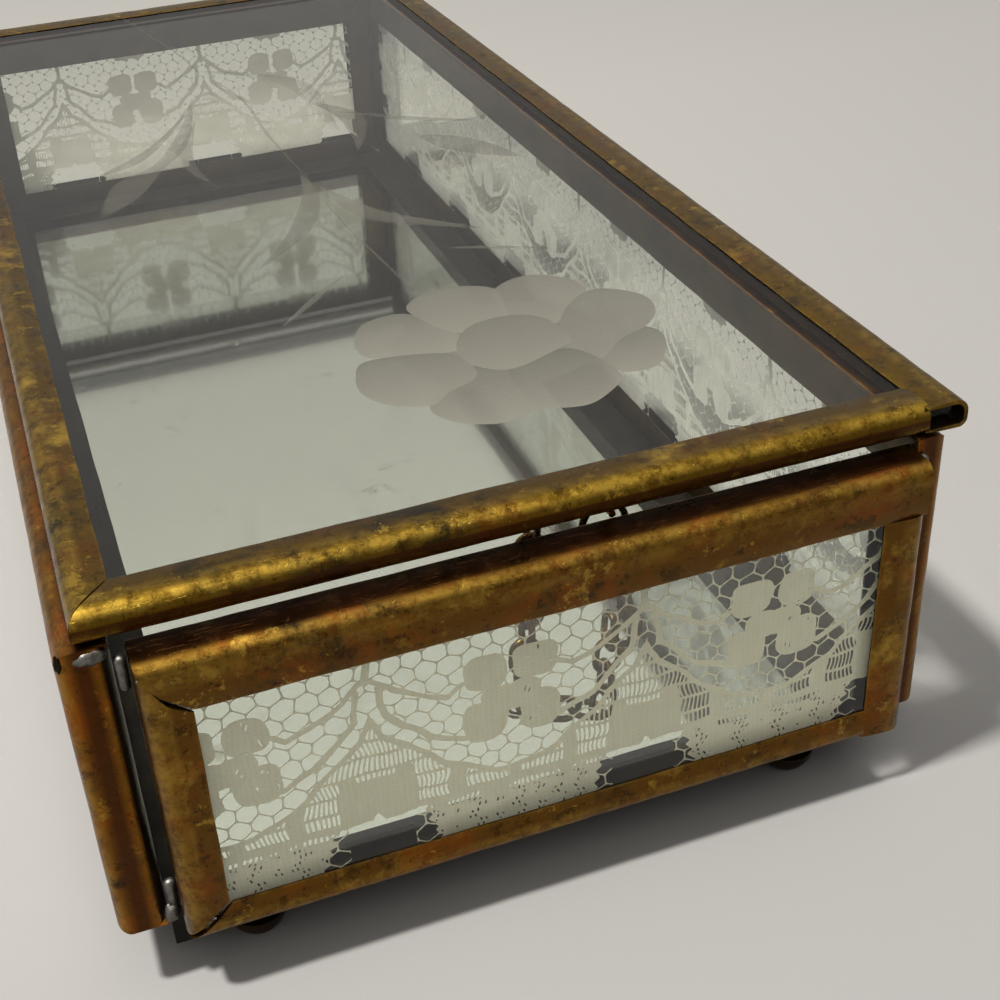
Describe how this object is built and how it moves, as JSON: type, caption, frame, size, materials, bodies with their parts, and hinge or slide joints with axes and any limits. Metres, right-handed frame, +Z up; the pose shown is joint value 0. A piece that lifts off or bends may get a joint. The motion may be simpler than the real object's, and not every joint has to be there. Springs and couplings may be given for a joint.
{
  "type": "glass casket box",
  "caption": "Long glazed keepsake box: lace pressed between panes in folded brass came, mirror floor, hinged glass lid held open by a stay chain, on dome feet",
  "frame": {"origin": "On the surface it stands on, under the middle of its outline with the lid shut", "axes": "+Z up, +Y along the length to the far end, +X to the hinged long side; the lid's free edge is at -X"},
  "size_m": [0.0808, 0.1786, 0.0408],
  "materials": {
    "aged_brass": "worn and darkened, bright on the edges",
    "chain_brass": "dark, unpolished",
    "pin_brass": "worn",
    "clear_glass": "clear",
    "lid_glass": "clear, wheel cut near one end",
    "lace": "cotton net and woven figures",
    "mirror": "silvered, slightly worn",
    "card": "matt",
    "solder": "dull grey lead solder"
  },
  "bodies": {
    "box": {"near_end_frame": "aged_brass", "near_end_outer_glass": "clear_glass", "near_end_lace": "lace", "near_end_inner_glass": "clear_glass", "far_end_frame": "aged_brass", "far_end_outer_glass": "clear_glass", "far_end_lace": "lace", "far_end_inner_glass": "clear_glass", "left_side_frame": "aged_brass", "left_side_outer_glass": "clear_glass", "left_side_lace": "lace", "left_side_inner_glass": "clear_glass", "right_side_frame": "aged_brass", "right_side_outer_glass": "clear_glass", "right_side_lace": "lace", "right_side_inner_glass": "clear_glass", "floor_frame": "aged_brass", "floor_mirror": "mirror", "floor_backing": "card", "corner_solder": "solder", "foot_near_left": "aged_brass", "foot_near_right": "aged_brass", "foot_far_left": "aged_brass", "foot_far_right": "aged_brass", "near_hinge_box_knuckles": "aged_brass", "near_hinge_pin": "pin_brass", "far_hinge_box_knuckles": "aged_brass", "far_hinge_pin": "pin_brass", "box_chain_ring": "chain_brass"},
    "lid": {"near_hinge_lid_knuckle": "aged_brass", "far_hinge_lid_knuckle": "aged_brass", "lid_frame": "aged_brass", "lid_glass": "lid_glass", "lid_chain_staple": "chain_brass"},
    "chain_near_box": {"chain_box_run": "chain_brass"},
    "chain_near_lid": {"chain_lid_run": "chain_brass"},
    "chain_turn": {"chain_bend": "chain_brass"},
    "chain_rise": {"chain_drop": "chain_brass"}
  },
  "joints": [
    {"name": "lid_hinge", "type": "hinge", "parent": "box", "child": "lid", "pos_m": [0.03955, 0, 0.037], "axis": [0, 1, 0], "range_deg": [0, 90]},
    {"name": "chain_box_pivot", "type": "hinge", "parent": "box", "child": "chain_near_box", "pos_m": [0.00729, -0.08305, 0.03431], "axis": [0, 1, 0], "range_deg": [-138.91, 0]},
    {"name": "chain_lid_pivot", "type": "hinge", "parent": "lid", "child": "chain_near_lid", "pos_m": [0.0004, -0.0821, 0.03742], "axis": [0, 1, 0], "range_deg": [-57.21, 0]},
    {"name": "chain_turn_pivot", "type": "hinge", "parent": "chain_near_lid", "child": "chain_turn", "pos_m": [-0.0014, -0.0797, 0.01549], "axis": [0, 1, 0], "range_deg": [0, 74.9]},
    {"name": "chain_rise_pivot", "type": "hinge", "parent": "chain_turn", "child": "chain_rise", "pos_m": [0.00706, -0.0797, 0.01236], "axis": [0, 1, 0], "range_deg": [0, 106]}
  ],
  "couplings": [
    {"joint": "chain_box_pivot", "follows": "lid_hinge", "ratio": -1.5379},
    {"joint": "chain_lid_pivot", "follows": "lid_hinge", "ratio": -0.6301},
    {"joint": "chain_turn_pivot", "follows": "lid_hinge", "ratio": 0.8267},
    {"joint": "chain_rise_pivot", "follows": "lid_hinge", "ratio": 1.1722}
  ]
}
